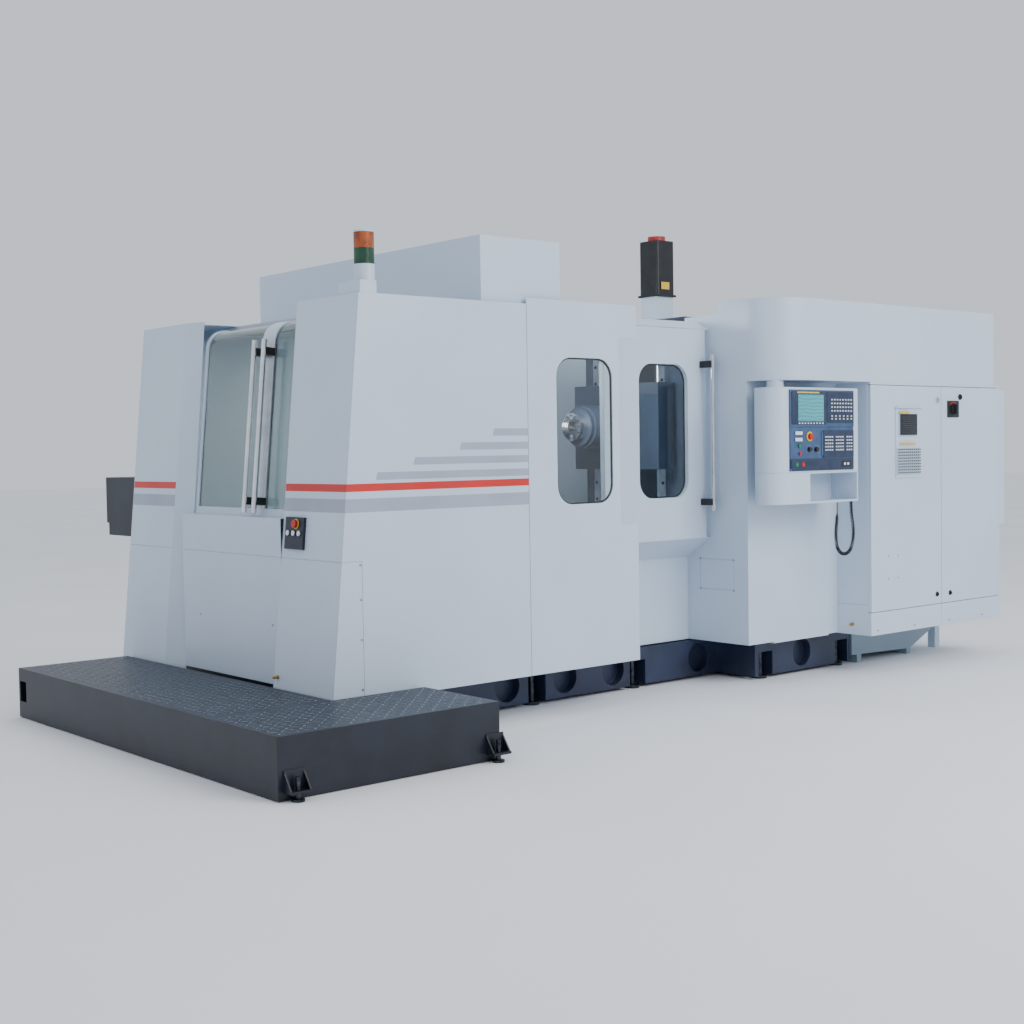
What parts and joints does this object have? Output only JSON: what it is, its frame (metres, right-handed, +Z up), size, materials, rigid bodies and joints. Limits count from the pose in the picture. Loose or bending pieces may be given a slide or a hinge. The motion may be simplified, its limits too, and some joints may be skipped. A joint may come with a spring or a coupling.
{
  "type": "horizontal cnc machining center",
  "caption": "Enclosed horizontal machining centre with glazed loading doors, a pallet table, a moving column, a swinging pendant and an electrical cabinet.",
  "frame": {"origin": "on the floor at the bed's sole pad, under the rotary table's axis at rest", "axes": "+X from the loading end towards the moving column, +Y away from the operator's side, +Z up"},
  "size_m": [6.413, 3.601, 3.035],
  "materials": {
    "panel_paint": "satin powder coat on folded sheet steel",
    "platform_paint": "semi-gloss enamel on chequer plate",
    "base_paint": "machine enamel on a casting",
    "casting_paint": "machine enamel on a casting",
    "ground_steel": "ground and lapped",
    "motor_paint": "black stove enamel",
    "window_glass": "laminated safety glass",
    "bar_chrome": "polished chrome plate",
    "lens_plastic": "tinted ribbed lens",
    "face_plastic": "moulded panels and membrane keys",
    "black_plastic": "moulded",
    "red_plastic": "moulded",
    "green_plastic": "moulded",
    "white_plastic": "moulded",
    "cord_rubber": "extruded curly cord"
  },
  "bodies": {
    "root": {"platform": "platform_paint", "levelling_feet": "platform_paint", "bed_casting": "base_paint", "way_rails": "ground_steel", "end_pillars": "panel_paint", "end_centre_panel": "panel_paint", "side_panel_front": "panel_paint", "side_panel_window": "panel_paint", "side_window_pane": "window_glass", "low_panel": "panel_paint", "rear_panel": "panel_paint", "roof_panels": "panel_paint", "roof_housing": "panel_paint", "column_cover": "panel_paint", "canopy": "panel_paint", "cabinet_case": "panel_paint", "coolant_tank": "panel_paint", "chip_conveyor": "platform_paint", "signal_tower": "panel_paint", "tower_lenses": "lens_plastic", "station_plate": "black_plastic", "magazine_frame": "base_paint"},
    "column": {"column_casting": "casting_paint", "head_rails": "ground_steel", "head_motor": "motor_paint"},
    "screw": {"head_screw": "ground_steel"},
    "head": {"head_casting": "casting_paint"},
    "spindle": {"spindle_nose": "ground_steel"},
    "table": {"table_saddle": "casting_paint"},
    "rotary": {"rotary_table": "casting_paint", "pallet": "ground_steel"},
    "magazine": {"tool_magazine": "casting_paint"},
    "arm": {"changer_arm": "ground_steel"},
    "door_near": {"load_door_near": "panel_paint", "load_door_near_pane": "window_glass"},
    "door_far": {"load_door_far": "panel_paint", "load_door_far_pane": "window_glass"},
    "operator_door": {"operator_door": "panel_paint", "operator_door_pane": "window_glass", "operator_door_handle": "bar_chrome"},
    "pendant": {"pendant_housing": "panel_paint", "control_face": "face_plastic", "handwheel_cord": "cord_rubber"},
    "cabinet_left": {"cabinet_door_left": "panel_paint", "fan_unit": "panel_paint"},
    "cabinet_right": {"cabinet_door_right": "panel_paint"},
    "pendant_stop": {"pendant_stop": "red_plastic"},
    "feed_knob": {"feed_knob": "black_plastic"},
    "spindle_knob": {"spindle_knob": "black_plastic"},
    "start_button": {"start_button": "green_plastic"},
    "hold_button": {"hold_button": "black_plastic"},
    "power_on_button": {"power_on_button": "green_plastic"},
    "power_off_button": {"power_off_button": "red_plastic"},
    "main_switch": {"main_switch": "black_plastic"},
    "lock_left": {"lock_left": "bar_chrome"},
    "lock_right": {"lock_right": "bar_chrome"},
    "station_stop": {"station_stop": "red_plastic"},
    "station_button_1": {"station_button_1": "white_plastic"},
    "station_button_2": {"station_button_2": "white_plastic"},
    "station_button_3": {"station_button_3": "white_plastic"}
  },
  "joints": [
    {"name": "column_slide", "type": "slide", "parent": "root", "child": "column", "axis": [0, 1, 0], "range_m": [-0.5, 0.5]},
    {"name": "head_slide", "type": "slide", "parent": "column", "child": "head", "axis": [0, 0, 1], "range_m": [-0.5, 0.3]},
    {"name": "screw_spin", "type": "hinge", "parent": "column", "child": "screw", "pos_m": [2.37, -0.185, 1.7], "axis": [0, 0, 1], "continuous": true},
    {"name": "spindle_spin", "type": "hinge", "parent": "head", "child": "spindle", "pos_m": [1.7, 0, 1.7], "axis": [1, 0, 0], "continuous": true},
    {"name": "table_slide", "type": "slide", "parent": "root", "child": "table", "axis": [1, 0, 0], "range_m": [0, 0.9]},
    {"name": "rotary_turn", "type": "hinge", "parent": "table", "child": "rotary", "pos_m": [0, 0, 0.9], "axis": [0, 0, 1], "continuous": true},
    {"name": "magazine_turn", "type": "hinge", "parent": "root", "child": "magazine", "pos_m": [1.35, 0.76, 1.65], "axis": [1, 0, 0], "continuous": true},
    {"name": "arm_swing", "type": "hinge", "parent": "root", "child": "arm", "pos_m": [1.5, 0.33, 1.7], "axis": [1, 0, 0], "range_deg": [-90, 90]},
    {"name": "near_door_slide", "type": "slide", "parent": "root", "child": "door_near", "axis": [0, -1, 0], "range_m": [0, 0.29]},
    {"name": "far_door_slide", "type": "slide", "parent": "root", "child": "door_far", "axis": [0, 1, 0], "range_m": [0, 0.65]},
    {"name": "operator_door_slide", "type": "slide", "parent": "root", "child": "operator_door", "axis": [-1, 0, 0], "range_m": [0, 0.78]},
    {"name": "pendant_swivel", "type": "hinge", "parent": "root", "child": "pendant", "pos_m": [2.11, -1.454, 1.94], "axis": [0, 0, 1], "range_deg": [-38, 0]},
    {"name": "cabinet_left_swing", "type": "hinge", "parent": "root", "child": "cabinet_left", "pos_m": [2.93, -1.5875, 1.2], "axis": [0, 0, 1], "range_deg": [-100, 0]},
    {"name": "cabinet_right_swing", "type": "hinge", "parent": "root", "child": "cabinet_right", "pos_m": [4.496, -1.5875, 1.2], "axis": [0, 0, 1], "range_deg": [0, 100]},
    {"name": "main_switch_turn", "type": "hinge", "parent": "cabinet_right", "child": "main_switch", "pos_m": [3.89, -1.6, 1.786], "axis": [0, 1, 0], "range_deg": [0, 90]},
    {"name": "lock_left_turn", "type": "hinge", "parent": "cabinet_left", "child": "lock_left", "pos_m": [3.7, -1.59, 1.848], "axis": [0, 1, 0], "range_deg": [0, 90]},
    {"name": "lock_right_turn", "type": "hinge", "parent": "cabinet_right", "child": "lock_right", "pos_m": [3.98, -1.59, 1.872], "axis": [0, 1, 0], "range_deg": [0, 90]},
    {"name": "pendant_stop_press", "type": "slide", "parent": "pendant", "child": "pendant_stop", "axis": [0, 1, 0], "range_m": [0, 0.004]},
    {"name": "start_button_press", "type": "slide", "parent": "pendant", "child": "start_button", "axis": [0, 1, 0], "range_m": [0, 0.004], "stiffness_N_per_m": 600},
    {"name": "hold_button_press", "type": "slide", "parent": "pendant", "child": "hold_button", "axis": [0, 1, 0], "range_m": [0, 0.004], "stiffness_N_per_m": 600},
    {"name": "power_on_button_press", "type": "slide", "parent": "pendant", "child": "power_on_button", "axis": [0, 1, 0], "range_m": [0, 0.004], "stiffness_N_per_m": 600},
    {"name": "power_off_button_press", "type": "slide", "parent": "pendant", "child": "power_off_button", "axis": [0, 1, 0], "range_m": [0, 0.004], "stiffness_N_per_m": 600},
    {"name": "feed_knob_turn", "type": "hinge", "parent": "pendant", "child": "feed_knob", "pos_m": [2.211, -1.64, 1.522], "axis": [0, 1, 0], "range_deg": [-135, 135]},
    {"name": "spindle_knob_turn", "type": "hinge", "parent": "pendant", "child": "spindle_knob", "pos_m": [2.28, -1.64, 1.521], "axis": [0, 1, 0], "range_deg": [-135, 135]},
    {"name": "station_stop_press", "type": "slide", "parent": "root", "child": "station_stop", "axis": [0.9952, 0, -0.0981], "range_m": [0, 0.004]},
    {"name": "station_button_1_press", "type": "slide", "parent": "root", "child": "station_button_1", "axis": [0.9952, 0, -0.0981], "range_m": [0, 0.004], "stiffness_N_per_m": 600},
    {"name": "station_button_2_press", "type": "slide", "parent": "root", "child": "station_button_2", "axis": [0.9952, 0, -0.0981], "range_m": [0, 0.004], "stiffness_N_per_m": 600},
    {"name": "station_button_3_press", "type": "slide", "parent": "root", "child": "station_button_3", "axis": [0.9952, 0, -0.0981], "range_m": [0, 0.004], "stiffness_N_per_m": 600}
  ],
  "couplings": [
    {"joint": "screw_spin", "follows": "head_slide", "rad_per_m": 523.6}
  ]
}
